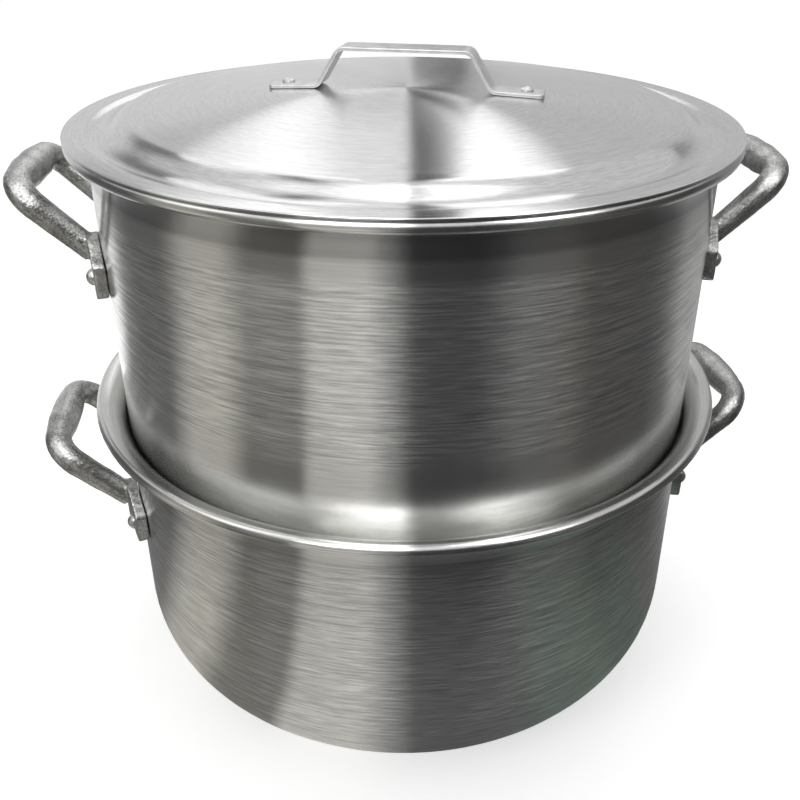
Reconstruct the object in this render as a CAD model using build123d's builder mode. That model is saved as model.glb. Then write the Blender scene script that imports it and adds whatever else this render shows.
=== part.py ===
from build123d import *
import os
from math import asin, atan, cos, degrees, hypot, radians, sin, sqrt, tan

# A stacked steamer: a flared stock pot, a steamer pot with a pierced bottom that sits in its
# mouth, and a domed lid. Millimetres, +Z up. The origin is the middle of the lower pot's base,
# and the lower pot's two handles stand on the X axis.

# Pots: spun aluminium sheet, the mouth flared out and its edge rolled under.
pot_sheet = 2.5
rim_roll_radius = 4.0

lower_wall_radius = 213.3
lower_height = 235.0
lower_base_corner = 70.0
lower_flare_reach = 15.6
lower_flare_height = 28.0

steamer_height = 249.1
steamer_base_corner = 45.0
steamer_flare_reach = 9.4
steamer_flare_height = 26.0
steamer_turn = -3.1

# The steamer is this much wider than the lower pot's inside, so that it rests on the flare.
seat_reach = 0.8
seat_clearance = 0.3

# Steam holes in the steamer's bottom, in rings round a middle one.
steam_hole_radius = 6.0
steam_ring_spacing = 42.0
steam_ring_count = 3
steam_ring_step = 6

# Lid: one spun sheet, with a flat flange, a locating groove inside it and a low dome.
lid_sheet = 1.5
lid_overhang = 4.0
lid_clearance = 0.3
lid_flange_width = 12.0
lid_step_width = 8.0
lid_groove_depth = 2.0
lid_skirt_width = 21.0
lid_dome_rise = 7.7
lid_crown = 9.8
lid_edge_fillet = 0.5

# Loop handles: one casting twice on each pot, the lower pair a size larger.
arm_radius = 7.9
grip_width_radius = 10.9
bend_section_radius = 9.0
grip_depth_radius = 9.6
lower_arm_spacing = 99.0
lower_corner_spacing = 99.6
lower_handle_reach = 48.0
lower_handle_rise = 45.1
lower_handle_bend = 20.8
lower_handle_height = 162.0
steamer_arm_spacing = 88.0
steamer_corner_spacing = 96.8
steamer_handle_reach = 44.1
steamer_handle_rise = 45.8
steamer_handle_bend = 17.4
steamer_handle_below_rim = 77.0

# The pads that the arms end in spread away from the grip's middle, with one rivet in each.
pad_thickness = 8.0
pad_inner_width = 26.0
pad_outer_width = 12.0
pad_top_width = 6.0
pad_top = 12.0
pad_shoulder = 1.0
pad_bottom = 24.0
pad_corner_fillet = 5.0
arm_sink = 5.0

# Strap handle of the lid: flat bar bent into a low bridge.
strap_width = 23.0
strap_thickness = 2.5
strap_length = 188.0
strap_foot_length = 35.0
strap_top_length = 88.0
strap_height = 26.5
strap_bend_radius = 8.0
strap_turn = -17.3
strap_rivet_inset = 12.0
strap_end_fillet = 4.0
foot_clearance = 0.05

# Rivets: a domed head outside, a flat one inside.
rivet_radius = 3.2
rivet_fit = 0.1
pad_rivet_reach = 15.0
pad_rivet_drop = 11.0
pad_rivet_head_radius = 5.5
pad_rivet_head_height = 4.5
strap_rivet_head_radius = 4.4
strap_rivet_head_height = 2.8
flat_head_radius = 6.5
flat_head_height = 1.5
head_rim_height = 1.0

cut_overrun = 5.0

# The steamer's rounded bottom comes to rest on the inside of the lower pot's flare, a little
# above its neck. Near the neck both curves are close to parabolas, which gives the height.
steamer_wall_radius = lower_wall_radius - pot_sheet + seat_reach
lower_neck = lower_height - lower_flare_height
flare_bend = lower_flare_height**2 / (lower_flare_reach + pot_sheet)
seat_rise = sqrt(2 * (seat_reach + seat_clearance) * (flare_bend + steamer_base_corner))
steamer_base = lower_neck + seat_rise - steamer_base_corner
steamer_rim = steamer_base + steamer_height
steamer_handle_height = steamer_rim - steamer_handle_below_rim
lid_plane = steamer_rim + lid_clearance


def pot_section(base, height, wall_radius, base_corner, flare_reach, flare_height):
    """Half section of a spun pot: flat base, round corner, straight wall, flare, rolled rim."""
    rim = base + height
    neck = rim - flare_height
    inner_radius = wall_radius - pot_sheet
    crest_radius = wall_radius + flare_reach
    roll_middle = rim - rim_roll_radius
    curl_radius = rim_roll_radius - pot_sheet
    corner = (wall_radius - base_corner, base + base_corner)
    with BuildSketch(Plane.XZ) as section:
        with BuildLine():
            # Outside, from the middle of the base up to the flare's underside.
            Line((0, base), (corner[0], base))
            CenterArc(corner, base_corner, -90, 90)
            Line((wall_radius, corner[1]), (wall_radius, neck))
            EllipticalCenterArc(
                (crest_radius, neck), flare_reach, flare_height - pot_sheet, 90, arc_size=90
            )
            # The rim's edge, rolled outward and under.
            CenterArc((crest_radius, roll_middle), curl_radius, -90, 180)
            Line((crest_radius, roll_middle - curl_radius), (crest_radius, rim - 2 * rim_roll_radius))
            CenterArc((crest_radius, roll_middle), rim_roll_radius, -90, 180)
            # Inside, from the crest down to the middle of the base.
            EllipticalCenterArc(
                (crest_radius, neck), flare_reach + pot_sheet, flare_height, 90, arc_size=90
            )
            Line((inner_radius, neck), (inner_radius, corner[1]))
            CenterArc(corner, base_corner - pot_sheet, -90, 90)
            Line((corner[0], base + pot_sheet), (0, base + pot_sheet))
            Line((0, base + pot_sheet), (0, base))
        make_face()
    return section.sketch


def radial_plane(radius, angle, height):
    """A plane that faces straight out of the wall at this angle round the pot."""
    out = (cos(radians(angle)), sin(radians(angle)), 0)
    side = (-sin(radians(angle)), cos(radians(angle)), 0)
    return Plane(origin=(radius * out[0], radius * out[1], height), x_dir=side, z_dir=out)


def rivet_angle(wall_radius, arm_spacing):
    """How far round the wall a rivet stands from its handle's middle."""
    return degrees(asin(arm_spacing / 2 / wall_radius) + atan(pad_rivet_reach / wall_radius))


def rivet_planes(turn, radius, wall_radius, arm_spacing, height):
    """The places of one loop handle's two rivets, on this radius."""
    step = rivet_angle(wall_radius, arm_spacing)
    return [radial_plane(radius, turn + side * step, height - pad_rivet_drop) for side in (-1, 1)]


def rivet(grip, head_radius, head_height):
    """A rivet along -Z from its domed head: the sheets it holds lie between 0 and -grip."""
    cap_height = head_height - head_rim_height
    cap_radius = (head_radius**2 + cap_height**2) / (2 * cap_height)
    cap_angle = degrees(asin(head_radius / cap_radius))
    with BuildPart() as one:
        with BuildSketch(Plane.XZ):
            with BuildLine():
                cap = CenterArc(
                    (0, head_height - cap_radius), cap_radius, 90 - cap_angle, cap_angle
                )
                Polyline(
                    cap @ 1, (0, -grip - flat_head_height), (flat_head_radius, -grip - flat_head_height),
                    (flat_head_radius, -grip), (rivet_radius, -grip), (rivet_radius, 0),
                    (head_radius, 0), cap @ 0,
                )
            make_face()
        revolve(axis=Axis.Z)
    return one.part


def loop_handle(wall_radius, arm_spacing, corner_spacing, reach, rise, bend):
    """One cast loop handle on +X: two arms that rise to a thicker grip, each from its pad."""
    slope = hypot(reach, rise)
    loop = Plane(origin=(wall_radius, 0, 0), x_dir=(reach, 0, rise), z_dir=(-rise, 0, reach))
    arm = arm_spacing / 2
    corner = corner_spacing / 2
    with BuildPart() as handle:
        with BuildLine(loop) as route:
            FilletPolyline(
                (-arm_sink, -arm), (slope, -corner), (slope, corner), (-arm_sink, arm), radius=bend
            )
        near_arm, grip, far_arm = route.edges().filter_by(GeomType.LINE).sort_by(Axis.Y)
        for arm_line in (near_arm, far_arm):
            root, tip = [end.center() for end in arm_line.vertices().sort_by(Axis.Z)]
            for end, radius in ((root, arm_radius), (tip, bend_section_radius)):
                with BuildSketch(Plane(origin=end, z_dir=tip - root)):
                    Circle(radius)
            loft()
        for bend_line in route.edges().filter_by(GeomType.CIRCLE):
            with BuildSketch(Plane(origin=bend_line @ 0, z_dir=bend_line % 0)):
                Circle(bend_section_radius)
            sweep(path=bend_line)
        for share in (0, 1 / 2, 1):
            with BuildSketch(Plane(origin=grip @ share, x_dir=loop.x_dir, z_dir=grip % share)):
                if share == 1 / 2:
                    Ellipse(grip_width_radius, grip_depth_radius)
                else:
                    Circle(bend_section_radius)
        loft()
        face_radius = wall_radius + pad_thickness
        for side in (-1, 1):
            face = radial_plane(face_radius, side * rivet_angle(wall_radius, arm_spacing), 0)
            with BuildSketch(face) as front:
                with BuildLine():
                    Polyline(
                        (-side * pad_inner_width, pad_top), (-side * pad_top_width, pad_top),
                        (side * pad_outer_width, -pad_shoulder), (side * pad_outer_width, -pad_bottom),
                        (-side * pad_inner_width, -pad_bottom), close=True,
                    )
                make_face()
                fillet(front.vertices(), pad_corner_fillet)
            extrude(amount=-pad_thickness - arm_sink)
        Cylinder(wall_radius, 4 * pad_bottom, mode=Mode.SUBTRACT)
        for plane in rivet_planes(0, face_radius + cut_overrun, wall_radius, arm_spacing, 0):
            with Locations(plane):
                Hole(rivet_radius + rivet_fit, pad_thickness + 2 * cut_overrun)
    return handle.part


# Lower pot, with a hole through its wall for each of its handles' rivets.
with BuildPart() as lower_pot:
    add(
        pot_section(
            0, lower_height, lower_wall_radius, lower_base_corner,
            lower_flare_reach, lower_flare_height,
        )
    )
    revolve(axis=Axis.Z)
    for turn in (0, 180):
        for plane in rivet_planes(
            turn, lower_wall_radius + cut_overrun,
            lower_wall_radius, lower_arm_spacing, lower_handle_height,
        ):
            with Locations(plane):
                Hole(rivet_radius + rivet_fit, pot_sheet + 2 * cut_overrun)

# Steamer pot, its bottom pierced so that steam rises into it.
with BuildPart() as steamer_pot:
    add(
        pot_section(
            steamer_base, steamer_height, steamer_wall_radius, steamer_base_corner,
            steamer_flare_reach, steamer_flare_height,
        )
    )
    revolve(axis=Axis.Z)
    with BuildSketch(Plane.XY.offset(steamer_base)):
        Circle(steam_hole_radius)
        for ring in range(1, steam_ring_count + 1):
            with PolarLocations(ring * steam_ring_spacing, ring * steam_ring_step):
                Circle(steam_hole_radius)
    extrude(amount=pot_sheet, mode=Mode.SUBTRACT)
    for turn in (steamer_turn, steamer_turn + 180):
        for plane in rivet_planes(
            turn, steamer_wall_radius + cut_overrun,
            steamer_wall_radius, steamer_arm_spacing, steamer_handle_height,
        ):
            with Locations(plane):
                Hole(rivet_radius + rivet_fit, pot_sheet + 2 * cut_overrun)

# The four loop handles and their rivets.
lower_casting = loop_handle(
    lower_wall_radius, lower_arm_spacing, lower_corner_spacing,
    lower_handle_reach, lower_handle_rise, lower_handle_bend,
)
steamer_casting = loop_handle(
    steamer_wall_radius, steamer_arm_spacing, steamer_corner_spacing,
    steamer_handle_reach, steamer_handle_rise, steamer_handle_bend,
)
pad_rivet = rivet(
    pad_thickness + pot_sheet + rivet_fit, pad_rivet_head_radius, pad_rivet_head_height
)
lower_place = (lower_wall_radius, lower_arm_spacing, lower_handle_height)
steamer_place = (steamer_wall_radius, steamer_arm_spacing, steamer_handle_height)
loop_handles = {
    "lower_right_handle": (lower_casting, 0, lower_place),
    "lower_left_handle": (lower_casting, 180, lower_place),
    "steamer_right_handle": (steamer_casting, steamer_turn, steamer_place),
    "steamer_left_handle": (steamer_casting, steamer_turn + 180, steamer_place),
}
pieces = {}
for name, (casting, turn, place) in loop_handles.items():
    wall_radius, arm_spacing, height = place
    with BuildPart() as handle:
        with Locations(Location((0, 0, height), (0, 0, turn))):
            add(casting)
    with BuildPart() as rivets:
        with Locations(*rivet_planes(turn, wall_radius + pad_thickness, *place)):
            add(pad_rivet)
    pieces[name] = handle.part
    pieces[name + "_rivets"] = rivets.part

# Lid: the same line drawn as its top and, one sheet lower, as its underside. Its edge stands
# out past the steamer's rim, and its widths are counted inward from that edge.
lid_radius = steamer_wall_radius + steamer_flare_reach + lid_overhang
flange_inner_radius = lid_radius - lid_flange_width
groove_radius = flange_inner_radius - lid_step_width
dome_edge_radius = groove_radius - lid_skirt_width
dome_radius = dome_edge_radius**2 / (2 * lid_crown)
dome_angle = degrees(asin(dome_edge_radius / dome_radius))
strap_rivet_radius = strap_length / 2 - strap_rivet_inset
groove_top = lid_plane + lid_sheet - lid_groove_depth
crown_top = lid_plane + lid_dome_rise + lid_crown + lid_sheet


def dome_top(radius):
    """Height of the dome's top this far from the middle."""
    return crown_top - dome_radius + sqrt(dome_radius**2 - radius**2)


def strap_rivet_planes(raised):
    """Where the strap's two rivets stand on the dome, this far above it along its normal."""
    tilt = degrees(asin(strap_rivet_radius / dome_radius))
    planes = []
    for turn in (strap_turn, strap_turn + 180):
        out = Vector(1, 0, 0).rotate(Axis.Z, turn)
        normal = (out * sin(radians(tilt)) + Vector(0, 0, 1) * cos(radians(tilt))).normalized()
        foot = out * strap_rivet_radius + Vector(0, 0, dome_top(strap_rivet_radius))
        side = Vector(0, 0, 1).cross(out)
        planes.append(Plane(origin=foot + normal * raised, x_dir=side, z_dir=normal))
    return planes


with BuildPart() as lid:
    with BuildSketch(Plane.XZ):
        with BuildLine():
            for drop in (0, lid_sheet):
                middle = (0, crown_top - dome_radius - drop)
                dome = CenterArc(middle, dome_radius, 90 - dome_angle, dome_angle)
                groove = (groove_radius, groove_top - drop)
                flange = (flange_inner_radius, lid_plane + lid_sheet - drop)
                Spline(dome @ 0, groove, tangents=[-(dome % 0), (1, 0)])
                Spline(groove, flange, tangents=[(1, 0), (1, 0)])
                Line(flange, (lid_radius, flange[1]))
            Line((lid_radius, lid_plane), (lid_radius, lid_plane + lid_sheet))
            Line((0, crown_top - lid_sheet), (0, crown_top))
        make_face()
    revolve(axis=Axis.Z)
    lid_edge = lid.faces().filter_by(GeomType.CYLINDER).sort_by(SortBy.AREA)[-1]
    fillet(lid_edge.edges().filter_by(GeomType.CIRCLE), lid_edge_fillet)
    for plane in strap_rivet_planes(cut_overrun):
        with Locations(plane):
            Hole(rivet_radius + rivet_fit, lid_sheet + 2 * cut_overrun)

# Strap handle: its feet lie along the dome, and its legs lean in to a level top bar.
foot_tilt = asin(strap_rivet_radius / dome_radius)
foot_end = strap_length / 2
foot_bend = foot_end - strap_foot_length
seat = dome_top(strap_rivet_radius) + foot_clearance
end_height = seat - (foot_end - strap_rivet_radius) * tan(foot_tilt)
bend_height = seat + (strap_rivet_radius - foot_bend) * tan(foot_tilt)
top_height = crown_top + strap_height - strap_thickness
with BuildPart() as lid_handle:
    with BuildSketch(Plane.XZ.rotated((0, 0, strap_turn))):
        with BuildLine():
            FilletPolyline(
                (-foot_end, end_height), (-foot_bend, bend_height), (-strap_top_length / 2, top_height),
                (strap_top_length / 2, top_height), (foot_bend, bend_height), (foot_end, end_height),
                radius=strap_bend_radius,
            )
            offset(amount=strap_thickness, side=Side.LEFT)
        make_face()
    extrude(amount=strap_width / 2, both=True)
    foot_corners = lid_handle.edges().filter_by(Axis.Z, tolerance=2 * degrees(foot_tilt))
    fillet(foot_corners.sort_by(Axis.Z)[:4], strap_end_fillet)
    for plane in strap_rivet_planes(strap_thickness + cut_overrun):
        with Locations(plane):
            Hole(rivet_radius + rivet_fit, strap_thickness + 2 * cut_overrun)

with BuildPart() as lid_handle_rivets:
    with Locations(*strap_rivet_planes(strap_thickness + 2 * foot_clearance)):
        add(
            rivet(
                strap_thickness + lid_sheet + 2 * foot_clearance + rivet_fit,
                strap_rivet_head_radius, strap_rivet_head_height,
            )
        )

pieces["lower_pot"] = lower_pot.part
pieces["steamer_pot"] = steamer_pot.part
pieces["lid"] = lid.part
pieces["lid_handle"] = lid_handle.part
pieces["lid_handle_rivets"] = lid_handle_rivets.part

os.makedirs("parts", exist_ok=True)
for name, piece in pieces.items():
    piece.label = name
    export_step(piece, f"parts/{name}.step")
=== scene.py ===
from math import acos, atan, cos, hypot, pi, radians, sin

import bmesh
import bpy
import numpy as np
from mathutils import Matrix, Vector


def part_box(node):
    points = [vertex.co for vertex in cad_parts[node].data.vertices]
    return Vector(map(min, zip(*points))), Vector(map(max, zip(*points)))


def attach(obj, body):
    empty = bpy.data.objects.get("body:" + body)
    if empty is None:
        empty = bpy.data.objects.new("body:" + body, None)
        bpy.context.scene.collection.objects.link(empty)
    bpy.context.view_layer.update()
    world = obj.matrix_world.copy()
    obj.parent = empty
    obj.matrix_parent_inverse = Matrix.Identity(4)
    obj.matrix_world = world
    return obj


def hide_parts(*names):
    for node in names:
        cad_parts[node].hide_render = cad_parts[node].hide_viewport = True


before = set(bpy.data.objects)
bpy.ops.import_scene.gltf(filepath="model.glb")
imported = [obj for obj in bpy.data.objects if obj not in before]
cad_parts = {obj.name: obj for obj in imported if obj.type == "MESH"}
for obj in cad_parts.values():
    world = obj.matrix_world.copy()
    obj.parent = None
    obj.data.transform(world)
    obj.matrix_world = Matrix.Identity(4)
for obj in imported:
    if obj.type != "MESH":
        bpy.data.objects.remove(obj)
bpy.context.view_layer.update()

# Pots: aluminium sheet spun on a lathe and rubbed with a polishing cloth as it turned. The fine
# lines run round the wall, so it blurs a reflection up and down but hardly sideways and shows
# upright bands. The rolled necks and the corner between the pots are smooth.
lower_rim, steamer_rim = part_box("lower_pot")[1][2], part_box("steamer_pot")[1][2]


class Tone:
    """A value in a material's nodes. A sum or product of tones writes the Math node for it."""

    def __init__(self, tree, socket=None):
        self.tree = tree
        self.socket = socket

    def node(self, kind, settings=None, inputs=None, output=0):
        """One node of any kind: its settings go in first, then its sockets' values or links."""
        made = self.tree.nodes.new(kind)
        for name, value in (settings or {}).items():
            if name == "stops":
                ramp = made.color_ramp
                while len(ramp.elements) < len(value):
                    ramp.elements.new(0.5)
                for stop, (place, shade) in zip(ramp.elements, value):
                    stop.position = place
                    stop.color = (shade, shade, shade, 1) if np.isscalar(shade) else (*shade, 1)
            else:
                setattr(made, name, value)
        for name, value in (inputs or {}).items():
            if isinstance(value, Tone):
                self.tree.links.new(value.socket, made.inputs[name])
            else:
                made.inputs[name].default_value = value
        return Tone(self.tree, made.outputs[output])

    def math(self, operation, *values):
        return self.node("ShaderNodeMath", {"operation": operation}, dict(enumerate(values)))

    def __add__(self, other):
        return self.math("ADD", self, other)

    def __mul__(self, other):
        return self.math("MULTIPLY", self, other)

    def __sub__(self, other):
        return self.math("SUBTRACT", self, other)

    def __rsub__(self, other):
        return self.math("SUBTRACT", other, self)

    def __truediv__(self, other):
        return self.math("DIVIDE", self, other)

    def __pow__(self, other):
        return self.math("POWER", self, other)

    __radd__ = __add__
    __rmul__ = __mul__

    def step(self, low, high):
        """0 below low, 1 above high, and smooth between them."""
        settings = {"interpolation_type": "SMOOTHSTEP", "clamp": True}
        inputs = {"Value": self, "From Min": low, "From Max": high}
        return self.node("ShaderNodeMapRange", settings, inputs)

    def between(self, rise, fall):
        """0, then smooth over the two values of rise to 1, and over those of fall back to 0."""
        return self.step(*rise) * (1 - self.step(*fall))

    def ramp(self, *stops):
        return self.node("ShaderNodeValToRGB", {"stops": stops}, {"Fac": self})

    def mix(self, other, share):
        """This colour where share is 0 and the other where it is 1."""
        inputs = {6: self, 7: other, 0: share}
        return self.node("ShaderNodeMix", {"data_type": "RGBA"}, inputs, 2)

    def parts(self):
        """The three parts of a vector."""
        split = self.node("ShaderNodeSeparateXYZ", None, {"Vector": self}).socket.node
        return [Tone(self.tree, out) for out in split.outputs]

    def vector(self, x, y, z):
        return self.node("ShaderNodeCombineXYZ", None, {"X": x, "Y": y, "Z": z})

    def noise(self, scale, detail):
        inputs = {"Vector": self, "Scale": scale, "Detail": detail}
        return self.node("ShaderNodeTexNoise", None, inputs, "Fac")

    def surface(self, output="ShaderNodeOutputMaterial"):
        """Ends a material, or the world, with this shader."""
        self.tree.links.new(self.socket, self.tree.nodes.new(output).inputs["Surface"])


def bare_material(name):
    """An empty node material and the start of an expression in it."""
    material = bpy.data.materials.new(name)
    material.use_nodes = True
    material.node_tree.nodes.clear()
    return material, Tone(material.node_tree)


def aluminium(name, tone, roughness, relief, depth, anisotropy=0.0):
    """A metal material from what varies over it: its colour, roughness and relief. The quarter
    turn of the anisotropy lays its blur across lines that run round the object."""
    material, start = bare_material(name)
    at = start.node("ShaderNodeTexCoord", output="Object")
    bump = {"Strength": 1.0, "Distance": depth, "Height": relief(at)}
    inputs = {
        "Base Color": tone(at),
        "Metallic": 1.0,
        "Roughness": roughness(at),
        "Anisotropic": anisotropy,
        "Anisotropic Rotation": 0.25,
        "Normal": at.node("ShaderNodeBump", None, bump),
    }
    at.node("ShaderNodeBsdfPrincipled", None, inputs).surface()
    return material


def from_axis(at):
    """Distance from the upright axis. The tiny addend keeps it above zero."""
    x, y = at.parts()[:2]
    return (x * x + y * y + 1e-8) ** 0.5


def lines_round(at, along, across, shift=0.0):
    """Noise drawn out into fine lines round a pot. Its place moves by along for each radian round
    the pot and by across for each metre of radius or height; another shift gives other lines."""
    x, y, z = at.parts()
    radius = from_axis(at)
    place = at.vector(x / radius * along + shift, y / radius * along, (radius + z) * across)
    return place.noise(1.0, 1.0)


def brushed(at):
    """1 where the cloth's lines show; the rolled necks and the corner between are smooth."""
    seam_start, seam_end, neck_start = (-0.040, -0.020), (0.027, 0.055), (-0.042, -0.033)
    height = at.parts()[2]
    seam = (height - lower_rim).between(seam_start, seam_end)
    neck = (height - steamer_rim).step(*neck_start)
    return (1 - seam) * (1 - neck)


def spun_tone(at):
    hairs = lines_round(at, 13.0, 1000.0)
    strokes = lines_round(at, 4.0, 850.0, 7.0)
    long_lines = lines_round(at, 1.0, 900.0, 4.0)
    mixed = hairs * 0.42 + strokes * 0.36 + long_lines * 0.22
    # Where the metal isn't brushed, a fifth of the lines' contrast is left.
    mixed = 0.5 + (mixed - 0.5) * (0.2 + 0.8 * brushed(at))
    dark, bright, painted_shade = (0.50, 0.50, 0.49), (0.84, 0.84, 0.825), (0.25, 0.25, 0.25, 1)
    metal = mixed.ramp((0.38, dark), (0.62, bright))
    # Painted shade: the base colour is darkened in the hollow under the steamer's rim, where shade
    # falls.
    rim_shade_start, rim_shade_end = (-0.028, -0.023), (-0.014, -0.008)
    rim_shade = (at.parts()[2] - steamer_rim).between(rim_shade_start, rim_shade_end)
    return metal.mix(painted_shade, rim_shade * 0.7)


def spun_roughness(at):
    hairs = lines_round(at, 7.0, 900.0, 5.0)
    return 0.17 + (0.02 + 0.10 * hairs) * brushed(at)


def spun_lines(at):
    hairs = lines_round(at, 13.0, 1000.0, 11.0)
    strokes = lines_round(at, 3.0, 900.0, 2.0)
    return (hairs * 0.6 + strokes * 0.4) * brushed(at)


def dress(node, material):
    """Gives a CAD node its finish."""
    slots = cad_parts[node].data.materials
    slots.clear()
    slots.append(material)


spun = aluminium("spun_aluminium", spun_tone, spun_roughness, spun_lines, 0.00005, 1.0)
dress("lower_pot", spun)
dress("steamer_pot", spun)


# Lid: a thinner spun sheet that lies loose on the steamer's rim, with its groove inside it. The
# dome is polished in rings, which draw the light out into a fan from the middle. Facets would
# show in that polish, so the lid is one smooth surface of its own.
lid_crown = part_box("lid")[1][2]
lid_sheet, lid_edge = 0.0015, 0.225
dome_edge, dome_drop = 0.184, 0.0098
dome_ball = dome_edge**2 / (2 * dome_drop)


def lid_rings(at, along, across, shift=0.0, detail=1.0):
    """Noise drawn out into rings: as lines_round, but by radius alone."""
    x, y = at.parts()[:2]
    radius = from_axis(at)
    place = at.vector(x / radius * along + shift, y / radius * along, radius * across)
    return place.noise(1.0, detail)


def lid_tone(at):
    mixed = lid_rings(at, 24.0, 1600.0) * 0.6 + lid_rings(at, 5.0, 500.0, 7.0) * 0.4
    dark, bright = (0.64, 0.64, 0.645), (0.75, 0.75, 0.755)
    return mixed.ramp((0.38, dark), (0.62, bright))


def lid_roughness(at):
    """The skirt, the groove and the flange are a little smoother than the dome."""
    skirt = from_axis(at).step(dome_edge - 0.012, dome_edge + 0.002)
    return 0.18 - 0.03 * skirt + 0.05 * lid_rings(at, 8.0, 420.0, 5.0, 2.0)


def lid_lines(at):
    return lid_rings(at, 14.0, 1500.0, 11.0)


def spread(start, end, lean_in, lean_out, steps):
    """Points on one cubic from start, which is left out, to end, with a tangent at each.

    At the share p of the way a point is start times 2 p cubed less 3 p squared plus 1, plus end
    times 3 p squared less 2 p cubed, plus the first tangent times p cubed less 2 p squared plus
    p, plus the last tangent times p cubed less p squared.
    """
    part = np.linspace(0, 1, steps + 1)[1:, None]
    start, end, lean_in, lean_out = np.array([start, end, lean_in, lean_out])
    leaving = (2 * part**3 - 3 * part**2 + 1) * start + (part**3 - 2 * part**2 + part) * lean_in
    return leaving + (3 * part**2 - 2 * part**3) * end + (part**3 - part**2) * lean_out


def lid_line():
    """The lid's outline, radius and height, from the top of its middle round to its underside.

    The dome is an arc: its height falls by the ball's radius less the root of that radius squared
    less the distance squared. Two cubics lead down into the groove and up to the flange. The edge
    is rounded by half a circle, and the underside is the same line one sheet lower.
    """
    groove, groove_depth, flange, flange_drop = 0.205, 0.0005, 0.213, 0.019
    skirt_lean, groove_lean, flange_lean = 0.0277, 0.0300, 0.0083
    distance = np.linspace(0, dome_edge, 48)
    dome = np.stack([distance, lid_crown - dome_ball + np.sqrt(dome_ball**2 - distance**2)], 1)
    dome_slope = np.array([np.sqrt(dome_ball**2 - dome_edge**2), -dome_edge]) / dome_ball
    seat = lid_crown - flange_drop
    groove_point, flange_point = (groove, seat - groove_depth), (flange, seat + lid_sheet)
    skirt = spread(dome[-1], groove_point, dome_slope * skirt_lean, (groove_lean, 0), 40)
    rise = spread(groove_point, flange_point, (flange_lean, 0), (flange_lean, 0), 24)
    half = lid_sheet / 2
    edge_middle = np.array([lid_edge - half, seat + half])
    top = np.concatenate([dome, skirt, rise, [edge_middle + (0, half)]])
    bend = np.radians(np.linspace(75, -75, 11))[:, None]
    rim = edge_middle + half * np.hstack([np.cos(bend), np.sin(bend)])
    return np.concatenate([top, rim, top[::-1] - (0, lid_sheet)])


def band_faces(rows, around):
    """Faces over rows of points that close on themselves: each joins a point, the next one round
    and the same two in the next row."""
    row, column = np.meshgrid(np.arange(rows - 1), np.arange(around), indexing="ij")
    after = (column + 1) % around
    corners = [row * around + column, row * around + after]
    corners += [(row + 1) * around + after, (row + 1) * around + column]
    return np.stack(corners, -1).reshape(-1, 4).tolist()


def turned(line, around):
    """A surface of revolution, as points and faces.

    Each point of the line is carried round the upright axis in equal turns: x is its radius times
    the sine of the turn, y its radius times minus the cosine, z its height.
    """
    turn = np.linspace(0, 2 * pi, around, endpoint=False)
    radius, height = line[:, :1], line[:, 1:]
    points = [radius * np.sin(turn), -radius * np.cos(turn), np.repeat(height, around, 1)]
    return np.stack(points, -1).reshape(-1, 3), band_faces(len(line), around)


def new_piece(name, points, faces, material=None, smooth=True):
    """An object at the origin with this surface and material."""
    mesh = bpy.data.meshes.new(name)
    mesh.from_pydata(points.tolist(), [], faces)
    mesh.polygons.foreach_set("use_smooth", [smooth] * len(faces))
    if material:
        mesh.materials.append(material)
    piece = bpy.data.objects.new(name, mesh)
    bpy.context.scene.collection.objects.link(piece)
    return piece


def outward(mesh):
    """Closes a mesh's doubled points and turns its faces outward."""
    shell = bmesh.new()
    shell.from_mesh(mesh)
    bmesh.ops.remove_doubles(shell, verts=shell.verts, dist=1e-7)
    bmesh.ops.recalc_face_normals(shell, faces=shell.faces)
    shell.to_mesh(mesh)
    shell.free()


polished = aluminium("polished_lid", lid_tone, lid_roughness, lid_lines, 0.000012, 1.0)
turned_lid = new_piece("turned_lid", *turned(lid_line(), 384), polished)
outward(turned_lid.data)
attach(turned_lid, "lid_body")
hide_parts("lid")


# Loop handles: sand castings, one pattern for each pot. The arms swell into the grip, the two
# halves of the mould left a ridge along the middle, and the pads are riveted to the wall.
def straight(start, end, spacing):
    """Points from start to end in equal steps, none longer than the spacing."""
    steps = int(np.linalg.norm(end - start) / spacing) + 1
    return start + (end - start) * np.linspace(0, 1, steps + 1)[:, None]


def rounded_line(corners, radius, spacing):
    """A flat line through corners with an arc of this radius at each inner one: straight runs end
    where the arc touches them, at the radius times the tangent of half the turn."""
    pieces, start = [], corners[0]
    for before, at, after in zip(corners, corners[1:], corners[2:]):
        into = (at - before) / np.linalg.norm(at - before)
        on = (after - at) / np.linalg.norm(after - at)
        turn = acos(float(into @ on))
        cut = radius * np.tan(turn / 2)
        left = np.sign(into[0] * on[1] - into[1] * on[0])
        touch = at - into * cut
        centre = touch + left * radius * np.array([-into[1], into[0]])
        angles = left * np.linspace(0, turn, int(radius * turn / spacing) + 2)[1:-1, None]
        reach, sideways = touch - centre, (centre - touch)[::-1] * (1, -1)
        arc = centre + reach * np.cos(angles) + sideways * np.sin(angles)
        pieces += [straight(start, touch, spacing), arc]
        start = at + on * cut
    return np.concatenate([*pieces, straight(start, corners[-1], spacing)])


def directions(line):
    """The way a line goes at each of its points, with length 1."""
    way = np.gradient(line, axis=0)
    return way / np.linalg.norm(way, axis=1)[:, None]


def closed_faces(rows, around):
    """The faces of a tube of rows that a point at each end closes. The first end's point follows
    the rows' points, and the last end's comes after it."""
    spoke = np.arange(around)
    after = (spoke + 1) % around
    last = (rows - 1) * around
    first_cap = np.stack([np.full(around, rows * around), after, spoke], 1)
    last_cap = np.stack([np.full(around, rows * around + 1), last + spoke, last + after], 1)
    return band_faces(rows, around) + first_cap.tolist() + last_cap.tolist()


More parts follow.
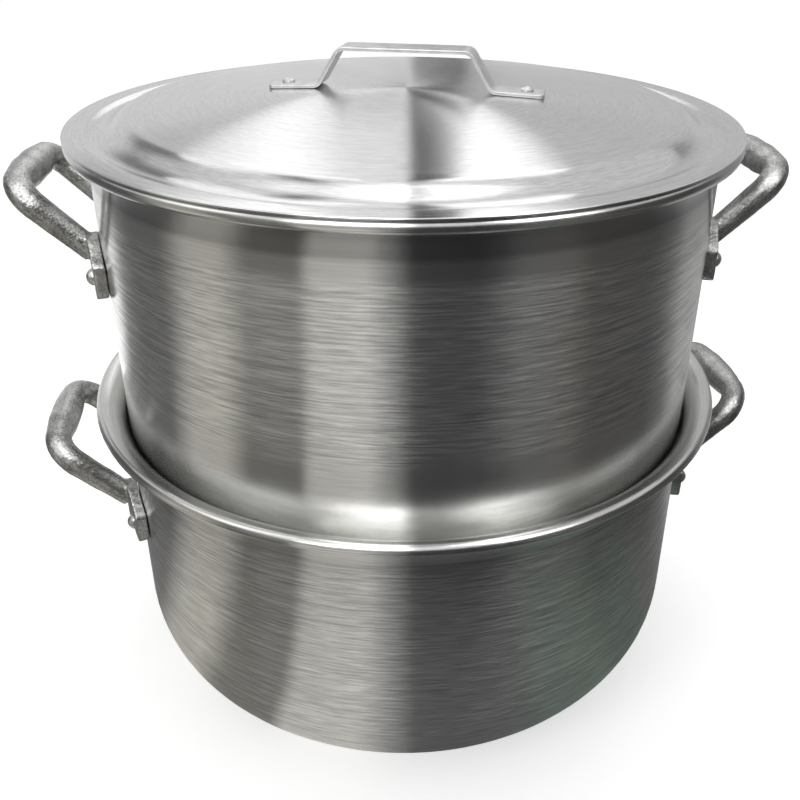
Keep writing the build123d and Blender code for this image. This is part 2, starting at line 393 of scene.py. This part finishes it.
def tube(middle, side, lift, wide, deep, around):
    """A closed tube: at each point of its middle line an oval stands across it, which is the
    cosine of the angle times wide along side, plus its sine times deep along lift."""
    angle = np.linspace(0, 2 * pi, around, endpoint=False)
    ring = (
        side[:, None] * (wide[:, None] * np.cos(angle))[..., None]
        + lift[:, None] * (deep[:, None] * np.sin(angle))[..., None]
    )
    points = np.concatenate([(middle[:, None] + ring).reshape(-1, 3), middle[[0, -1]]])
    return points, closed_faces(len(middle), around)


def keep_outside(points, least):
    """Moves points that are nearer to the upright axis than least straight out to it."""
    radius = np.hypot(points[:, 0], points[:, 1])
    points[:, :2] *= np.where(radius < least, least / radius, 1)[:, None]


def fused(shells, voxel):
    """The shells melted into one skin, their sharp joins rounded: points, normals and faces."""
    points = np.concatenate([shell_points for shell_points, _ in shells])
    firsts = np.cumsum([0] + [len(shell_points) for shell_points, _ in shells]).tolist()
    faces = [[v + first for v in face] for first, (_, part) in zip(firsts, shells) for face in part]
    rough = new_piece("rough_casting", points, faces)
    melt = rough.modifiers.new("melt", "REMESH")
    melt.mode = "VOXEL"
    melt.voxel_size = voxel
    melt.adaptivity = 0
    ease = rough.modifiers.new("ease", "SMOOTH")
    ease.factor = 0.5
    ease.iterations = 4
    ready = rough.evaluated_get(bpy.context.evaluated_depsgraph_get()).to_mesh()
    points, normals = np.empty((2, len(ready.vertices) * 3), np.float32)
    ready.vertices.foreach_get("co", points)
    ready.vertices.foreach_get("normal", normals)
    corners = np.empty(len(ready.loops), np.int32)
    ready.loops.foreach_get("vertex_index", corners)
    rough.to_mesh_clear()
    bpy.data.objects.remove(rough)
    points, normals = points.reshape(-1, 3).astype(float), normals.reshape(-1, 3).astype(float)
    return points, normals, corners.reshape(-1, 4)


def waves(points, length, seed):
    """Smooth unevenness between about -1 and 1: six sine waves of about this length, each in a
    direction of its own."""
    draw = np.random.default_rng(seed)
    ways = draw.normal(size=(6, 3))
    pace = (2 * pi / length) * draw.uniform(0.7, 1.5, (6, 1))
    ways *= pace / np.linalg.norm(ways, axis=1)[:, None]
    return np.sin(points @ ways.T + draw.uniform(0, 2 * pi, 6)).mean(1)


def pad_shell(back, face, middle_turn, side):
    """A pad: its outline stands at the radius back and is carried straight out to a flat face.

    A rounded corner at the share s is its start times 1 - s squared, plus the corner times 2s
    times 1 - s, plus its end times s squared. side is 1 or -1 for the outer edge's way round.
    """
    inner, outer, top_flat = 0.026, 0.012, 0.006
    top, shoulder, bottom, corner = 0.012, -0.001, -0.024, 0.005
    outline = np.array(
        [(-inner, top), (-top_flat, top), (outer, shoulder), (outer, bottom), (-inner, bottom)]
    )
    share = np.linspace(0, 1, 7)[:, None]
    rounded = []
    for before, at, after in zip(np.roll(outline, 1, 0), outline, np.roll(outline, -1, 0)):
        back_way = (before - at) / np.linalg.norm(before - at)
        on_way = (after - at) / np.linalg.norm(after - at)
        reach = corner / np.tan(acos(float(back_way @ on_way)) / 2)
        start, end = at + back_way * reach, at + on_way * reach
        rounded.append((1 - share) ** 2 * start + 2 * share * (1 - share) * at + share**2 * end)
    edge = np.concatenate(rounded)
    across = side * edge[:, :1]
    out = np.array([cos(middle_turn), sin(middle_turn), 0])
    way = np.array([-sin(middle_turn), cos(middle_turn), 0])
    base = across * way + edge[:, 1:] * np.array([0, 0, 1])
    front = base + face * out
    behind = base + np.sqrt(back**2 - across**2) * out
    points = np.concatenate([behind, front, [behind.mean(0), front.mean(0)]])
    faces = closed_faces(2, len(edge))
    return points, faces if side > 0 else [face[::-1] for face in faces]


def casting(wall, arm_spacing, corner_spacing, reach, rise, bend, seed):
    """One loop handle on +X, with its arms' roots at height 0.

    Its middle line lies in a plane that leans out by reach over rise. An oval is carried along it,
    a thin ridge lies on each side of the oval, and a pad stands at each root. All are melted into
    one skin, and waves along its normals make it uneven.
    """
    arm_radius, bend_radius, grip_wide, grip_deep = 0.0079, 0.0090, 0.0109, 0.0096
    pad_thickness, rivet_reach, rivet_drop, root_gap = 0.008, 0.015, 0.011, 0.001
    rough_gap, least_gap, point_spacing, voxel = 0.0005, 0.0003, 0.0011, 0.00085
    slope = hypot(reach, rise)
    arm, corner = arm_spacing / 2, corner_spacing / 2
    # The line in its own plane, as (along the slope, across), is an arm, a bend, the grip and
    # the same mirrored.
    root, turn_corner, grip_middle = np.array([(0, -arm), (slope, -corner), (slope, 0)])
    root = root + (turn_corner - root) / np.linalg.norm(turn_corner - root) * root_gap
    near = rounded_line([root, turn_corner, grip_middle], bend, point_spacing)
    line = np.concatenate([near, near[-2::-1] * (1, -1)])
    along = np.array([reach, 0, rise]) / slope
    across = np.array([0, 1, 0])
    middle = np.array([wall, 0, 0]) + line[:, :1] * along + line[:, 1:] * across
    tangent = directions(line)
    side = tangent[:, 1:] * along - tangent[:, :1] * across
    lift = np.tile(np.array([-rise, 0, reach]) / slope, (len(line), 1))
    # The section grows along the arm to the bend, and swells again over the grip, where it is
    # full before the middle.
    fullness = 1.25
    from_root = np.clip(line[:, 0] / (slope - bend), 0, 1)
    grip_share = np.clip(1 - np.abs(line[:, 1]) / (corner - bend), 0, 1)
    swell = np.clip(np.sin(grip_share * pi / 2) * fullness, 0, 1)
    arm_part = arm_radius + (bend_radius - arm_radius) * from_root
    wide = arm_part + (grip_wide - bend_radius) * swell
    deep = arm_part + (grip_deep - bend_radius) * swell
    shells = [tube(middle, side, lift, wide, deep, 48)]
    # The mould's ridge, on the outer and the inner side, curling up over the arm near its root.
    ridge_radius, ridge_stand, ridge_start = 0.0009, 0.0003, 0.008
    curl_start, curl_length, most_curl = 0.010, 0.008, radians(65)
    curl = np.clip(1 - (line[:, 0] - curl_start) / curl_length, 0, 1) ** 2 * most_curl
    kept = line[:, 0] > ridge_start
    thin = np.full(int(kept.sum()), ridge_radius)
    for flip in (1, -1):
        far = (wide - ridge_radius + ridge_stand) * np.cos(curl) * flip
        high = (deep - ridge_radius + ridge_stand) * np.sin(curl)
        ridge = middle + side * far[:, None] + lift * high[:, None]
        shells.append(tube(ridge[kept], side[kept], lift[kept], thin, thin, 8))
    # The arms' feet and the pads stop at the wall.
    for points, _ in shells:
        keep_outside(points, wall + rough_gap)
    pad_turn = np.arcsin(arm / wall) + atan(rivet_reach / wall)
    for sign in (1, -1):
        shells.append(pad_shell(wall + rough_gap, wall + pad_thickness, sign * pad_turn, sign))
    points, normals, quads = fused(shells, voxel)
    broad_height, broad_length, fine_height, fine_length = 0.00022, 0.018, 0.00012, 0.006
    grain = broad_height * waves(points, broad_length, seed)
    grain += fine_height * waves(points, fine_length, seed + 1)
    # The pads' faces stay flat where the rivets' heads bear on them.
    head_radius, head_fade = 0.006, 0.004
    turn = np.abs(np.arctan2(points[:, 1], points[:, 0]))
    by_rivet = np.hypot((turn - pad_turn) * wall, points[:, 2] + rivet_drop)
    points += normals * (grain * np.clip((by_rivet - head_radius) / head_fade, 0, 1))[:, None]
    keep_outside(points, wall + least_gap)
    return points, quads


def cast_tone(at):
    skin = at.noise(700.0, 3.0) * 0.65 + at.noise(70.0, 3.0) * 0.35
    dark, bright, rubbed = (0.26, 0.26, 0.255), (0.62, 0.62, 0.61), (0.72, 0.72, 0.71, 1)
    worn = at.noise(45.0, 2.0).step(0.50, 0.68)
    return skin.ramp((0.38, dark), (0.60, bright)).mix(rubbed, worn * 0.4)


def cast_roughness(at):
    return 0.26 + 0.20 * at.noise(420.0, 2.0)


def cast_grain(at):
    return at.noise(650.0, 3.0) * 0.6 + at.noise(170.0, 3.0) * 0.8


cast = aluminium("cast_aluminium", cast_tone, cast_roughness, cast_grain, 0.00055)
lower_casting = casting(
    wall=0.2133, arm_spacing=0.099, corner_spacing=0.0996, reach=0.048, rise=0.0451, bend=0.0208, seed=3
)
steamer_casting = casting(
    wall=0.2116, arm_spacing=0.088, corner_spacing=0.0968, reach=0.0441, rise=0.0458, bend=0.0174, seed=5
)
steamer_turn = radians(-3.1)
for pot, body, (points, quads), turn in (
    ("lower", "lower_pot_body", lower_casting, 0.0),
    ("steamer", "steamer_body", steamer_casting, steamer_turn),
):
    for hand, half_turn in (("right", 0.0), ("left", pi)):
        node = f"{pot}_{hand}_handle"
        spin = np.array(Matrix.Rotation(turn + half_turn, 3, "Z"))
        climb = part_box(node)[0][2] - points[:, 2].min()
        placed = points @ spin.T + (0, 0, climb)
        piece = new_piece(f"{pot}_{hand}_loop", placed, quads.tolist(), cast)
        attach(piece, body)
        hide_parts(node)


# Strap handle: rolled flat bar, matt, its edges eased by the rolls. It is bent into a low bridge
# whose feet lie along the dome, each under one rivet.
strap_turn = radians(-17.3)
strap_width, strap_thickness, strap_half = 0.023, 0.0025, 0.094
strap_foot, strap_top_half, strap_bend, strap_lift = 0.035, 0.044, 0.008, 0.0265
strap_foot_corner, strap_edge_round, strap_gap, strap_rivet_inset = 0.004, 0.0007, 0.00005, 0.012


def strap_bar():
    """The bar: its section is carried along its bent middle line. The half width narrows at each
    end as a quarter circle, so that the feet have round corners."""
    rivet, low, rise = strap_half - strap_rivet_inset, strap_half - strap_foot, strap_thickness / 2
    tilt = np.arcsin(rivet / dome_ball)
    seat = lid_crown - dome_ball * (1 - cos(tilt)) + strap_gap
    foot_tip = (strap_half, seat - (strap_half - rivet) * np.tan(tilt) + rise)
    foot_bend = (low, seat + (rivet - low) * np.tan(tilt) + rise)
    top_bend = (strap_top_half, lid_crown + strap_lift - rise)
    corners = [np.array(corner) for corner in (foot_tip, foot_bend, top_bend)]
    corners += [corner * (-1, 1) for corner in corners[::-1]]
    line = rounded_line(corners, strap_bend - rise, 0.0008)
    length = np.concatenate([[0], np.cumsum(np.linalg.norm(np.diff(line, axis=0), axis=1))])
    from_end = np.minimum(length, length[-1] - length)
    into = np.clip(strap_foot_corner - from_end, 0, strap_foot_corner)
    half_width = strap_width / 2 - strap_foot_corner + np.sqrt(strap_foot_corner**2 - into**2)
    # The section is a flat bar whose four corners are quarter circles of six points.
    angle = (np.arange(4)[:, None] * pi / 2 + np.linspace(0, pi / 2, 6)).ravel()
    sign_across, sign_up = np.repeat([1, -1, -1, 1], 6), np.repeat([1, 1, -1, -1], 6)
    across = sign_across * (half_width[:, None] - strap_edge_round) + strap_edge_round * np.cos(angle)
    thick = sign_up * (rise - strap_edge_round) + strap_edge_round * np.sin(angle)
    way = np.array([cos(strap_turn), sin(strap_turn), 0])
    side = np.array([-sin(strap_turn), cos(strap_turn), 0])
    up = np.array([0, 0, 1])
    tangent = directions(line)
    lift = tangent[:, :1] * up - tangent[:, 1:] * way
    lift *= np.sign(lift[:, 2:])
    middle = line[:, :1] * way + line[:, 1:] * up
    points = middle[:, None] + across[..., None] * side + thick[:, None] * lift[:, None]
    rows, around = points.shape[:2]
    ends = [list(range(around))[::-1], list(range((rows - 1) * around, rows * around))]
    return points.reshape(-1, 3), band_faces(rows, around) + ends


def strap_tone(at):
    dark, bright = (0.48, 0.48, 0.48), (0.62, 0.62, 0.615)
    return at.noise(110.0, 3.0).ramp((0.3, dark), (0.7, bright))


def strap_roughness(at):
    return 0.36 + 0.12 * at.noise(200.0, 2.0)


def strap_marks(at):
    return at.noise(500.0, 3.0)


rolled = aluminium("rolled_bar", strap_tone, strap_roughness, strap_marks, 0.0001)
strap = new_piece("strap_handle", *strap_bar(), rolled)
outward(strap.data)
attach(strap, "lid_body")
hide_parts("lid_handle")


# Rivets: short lengths of soft aluminium wire through the pad or strap foot and the sheet. A set
# formed the head at each end, and left the outer ones bright and a little dented.
def rivet_tone(at):
    dark, bright = (0.62, 0.62, 0.62), (0.80, 0.80, 0.80)
    return at.noise(300.0, 2.0).ramp((0.3, dark), (0.7, bright))


def rivet_roughness(at):
    return 0.24 + 0.14 * at.noise(400.0, 2.0)


def rivet_dents(at):
    return at.noise(420.0, 2.0)


pressed = aluminium("pressed_rivet", rivet_tone, rivet_roughness, rivet_dents, 0.0005)
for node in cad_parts:
    if node.endswith("rivets"):
        dress(node, pressed)


# Studio: a white floor and surround. Round the object stands a tent of light and dark cards that
# only the metal's reflections see: bright to the left and the front left, dark to the front, a
# bright window behind for the lid's fan, and a pale roof.
def seen_straight(start):
    """1 on rays from the camera, off metal and through glass."""
    kinds = ("Camera", "Glossy", "Transmission")
    rays = [start.node("ShaderNodeLightPath", output=f"Is {kind} Ray") for kind in kinds]
    return start.math("MINIMUM", rays[0] + rays[1] + rays[2], 1.0)


floor_reach, floor_glow, floor_colour = 6.0, 0.55, (0.82, 0.82, 0.82, 1)
white, start = bare_material("white_floor")
matt = start.node("ShaderNodeBsdfDiffuse", None, {"Color": floor_colour})
glow = start.node("ShaderNodeEmission", None, {"Strength": seen_straight(start) * floor_glow})
start.node("ShaderNodeAddShader", None, {0: matt, 1: glow}).surface()
floor_corners = np.array([(-1, -1, 0), (1, -1, 0), (1, 1, 0), (-1, 1, 0)]) * floor_reach
floor = new_piece("floor", floor_corners, [(0, 1, 2, 3)], white, smooth=False)


def by_turn(turn, most, *stops):
    """A ramp over a turn from -most to most degrees, whose stops are (turn, brightness or colour)."""
    shares = [(place / (2 * most) + 0.5, shade) for place, shade in stops]
    return (turn / (2 * most) + 0.5).ramp(*shares)


cards, start = bare_material("cards")
place = start.node("ShaderNodeTexCoord", output="Object")
x, y, z = place.parts()
far_out = from_axis(place)
# Degrees from the front and from the back, in both growing to the right side of the object.
front_turn = start.math("ARCTAN2", x, 0.0 - y) * (180 / pi)
back_turn = start.math("ARCTAN2", x, y) * (180 / pi)
low_cards = by_turn(
    front_turn, 180,
    (-180, 0.45), (-158, 2.4), (-130, 2.4), (-122, 0.5), (-110, 0.30), (-92, 0.30), (-81, 1.05),
    (-68, 1.05), (-58, 0.30), (-41, 0.26), (-37, 1.10), (-20, 1.20), (-13, 0.60), (-6, 0.10),
    (14, 0.08), (22, 0.12), (29, 0.22), (44, 0.26), (53, 0.18), (80, 0.16), (92, 0.28), (102, 0.7),
    (126, 0.8), (140, 0.3), (180, 0.45),
)
back_cards = by_turn(
    front_turn, 180,
    (-180, 0.72), (-125, 0.72), (-105, 0.6), (-90, 0.3), (90, 0.2), (110, 0.45), (125, 0.58),
    (180, 0.62),
)
roof_cards = by_turn(
    front_turn, 180,
    (-180, 0.7), (-110, 0.7), (-95, 0.7), (-83, 1.7), (-68, 1.7), (-58, 0.8), (-46, 0.9), (-38, 4.2),
    (-11, 4.2), (-4, 1.0), (20, 0.9), (28, 4.0), (46, 3.4), (56, 0.7), (100, 0.7), (180, 0.7),
)
# The low cards lie on the floor and stand up to the roof, but behind the object only to the back
# cards. Behind, the roof begins higher.
roof_height, roof_lift, roof_fade = 0.72, 0.2, 0.06
behind = y.step(0.35, 0.60)
back_share = z.step(0.25, 0.45) * behind
roof_share = (z - roof_height - behind * roof_lift).step(0.0, roof_fade)
# On the floor the low cards are even round the foot, dark in a ring about half a metre out and
# brighter beyond it, and above it they are dimmer. Close to the foot none is black or white.
ring_stops = (0.20, 0.50), (0.28, 0.50), (0.41, 0.52), (0.45, 0.10), (0.51, 0.10), (0.56, 0.62)
wall_dimming, foot_least, foot_most = 0.4, 0.07, 0.75
ring = far_out.ramp(*ring_stops) * (1 - wall_dimming * z.step(0.06, 0.10))
ground = low_cards * ring + foot_least * (1 - far_out.step(0.36, 0.45))
ground = start.math("MINIMUM", ground, foot_most + far_out.step(0.50, 0.60))
# The bright window behind widens upward. Each edge has its turn from the back at a height, and
# goes out by its spread, in degrees for each metre up.
left_turn, left_height, left_spread = -7, 0.72, 75
right_turn, right_height, right_spread = 12, 0.68, 45
past_left = back_turn - left_turn + (z - left_height) * left_spread
before_right = right_turn + (z - right_height) * right_spread - back_turn
window = past_left.step(-1, 1) * before_right.step(-1, 1) * z.step(0.60, 0.66) * behind
pane = by_turn(
    back_turn, 30, (-20, 1.25), (-7, 1.7), (-1, 1.0), (9, 0.95), (14, 1.1), (19, 2.0), (30, 1.8)
)
# A dark post parts the window, a dark hatch is in the roof on its left, and a dim shelf beside it.
post = back_turn.between((7.5, 9), (13, 15)) * back_share
hatch = x.between((-0.45, -0.44), (-0.30, -0.29)) * y.between((0.0, 0.02), (0.6, 0.62))
hatch = hatch * z.step(1.25, 1.3)
shelf = back_turn.between((-58, -46), (-30, -20)) * z.between((0.66, 0.86), (1.25, 1.32))
shelf = shelf * (1 - window)
post_dark, hatch_dark, shelf_dark = 0.93, 0.95, 0.7
strength = ground * (1 - back_share) + back_cards * back_share
strength = strength * (1 - roof_share) + roof_cards * roof_share
strength = strength * (1 - window) + pane * window
strength = strength * (1 - post * post_dark) * (1 - hatch * hatch_dark) * (1 - shelf * shelf_dark)
# Daylight from the front left is a little warm; something green lies low on the right.
warmth = by_turn(
    front_turn, 180,
    (-100, (1, 1, 1)), (-75, (1, 0.965, 0.87)), (-20, (1, 0.975, 0.92)), (-2, (0.97, 0.99, 1)),
    (25, (0.98, 1, 0.99)), (48, (1, 0.93, 0.88)), (62, (1, 0.95, 0.90)), (80, (1, 1, 1)),
)
warmth = warmth.mix((1, 1, 1, 1), z.step(0.5, 0.9))
green_colour, green_share = (0.78, 1.0, 0.87, 1), 0.8
green = front_turn.between((15, 32), (62, 80)) * (1 - far_out.step(0.36, 0.50))
green = green * (1 - z.step(0.05, 0.10)) * green_share
light = {"Strength": strength, "Color": warmth.mix(green_colour, green)}
start.node("ShaderNodeEmission", None, light).surface()
# The tent's radius and height: over the floor, up the wall and over the roof.
tent_line = [
    (0.17, 0.003), (0.55, 0.004), (0.95, 0.005), (0.95, 0.5), (0.95, 1.2), (0.8, 1.5), (0.001, 1.6),
]
tent = new_piece("card_tent", *turned(np.array(tent_line), 96), cards, smooth=False)
tent.visible_camera = False
tent.visible_diffuse = False
tent.visible_shadow = False
tent.visible_transmission = False

sky_light = 0.55
world = bpy.data.worlds.new("studio")
bpy.context.scene.world = world
world.use_nodes = True
world.node_tree.nodes.clear()
start = Tone(world.node_tree)
sky = {"Strength": sky_light + seen_straight(start) * (1 - sky_light), "Color": (1, 1, 1, 1)}
start.node("ShaderNodeBackground", None, sky).surface("ShaderNodeOutputWorld")


def softbox(name, place, aim, size, power):
    """A square lamp at place that faces aim."""
    lamp = bpy.data.lights.new(name, "AREA")
    lamp.size = size
    lamp.energy = power
    box = bpy.data.objects.new(name, lamp)
    box.location = place
    box.rotation_euler = (Vector(aim) - Vector(place)).to_track_quat("-Z", "Y").to_euler()
    bpy.context.scene.collection.objects.link(box)
    return box


# The top lamp's square would show in the lid, so reflections leave it out.
top = softbox("top_softbox", (0.3, 0.6, 2.0), (0, 0, 0.3), 1.2, 8)
top.visible_glossy = False
softbox("left_softbox", (-1.6, -1.2, 1.2), (0, 0, 0.25), 0.8, 8)

# Camera: the photograph's place, a little above the pots and close to them. It looks down on the
# lid, leans by half a degree, and its frame is moved by 25 of its 800 pixels each way.
eye = Vector((-0.0867, -0.6424, 0.5686))
forward = Vector((0.1378, 0.8712, -0.471)).normalized()
roll = 0.0094
frame_shift = -25 / 800
level = forward.cross(Vector((0, 0, 1))).normalized()
raised = level.cross(forward)
right = level * cos(roll) + raised * sin(roll)
up = raised * cos(roll) - level * sin(roll)
lens = bpy.data.cameras.new("camera")
lens.lens = 41.7
lens.sensor_width = 36.0
lens.shift_x = frame_shift
lens.shift_y = frame_shift
camera = bpy.data.objects.new("camera", lens)
camera.matrix_world = Matrix.Translation(eye) @ Matrix((right, up, -forward)).transposed().to_4x4()
bpy.context.scene.collection.objects.link(camera)
bpy.context.scene.camera = camera
bpy.context.scene.view_settings.view_transform = "Standard"
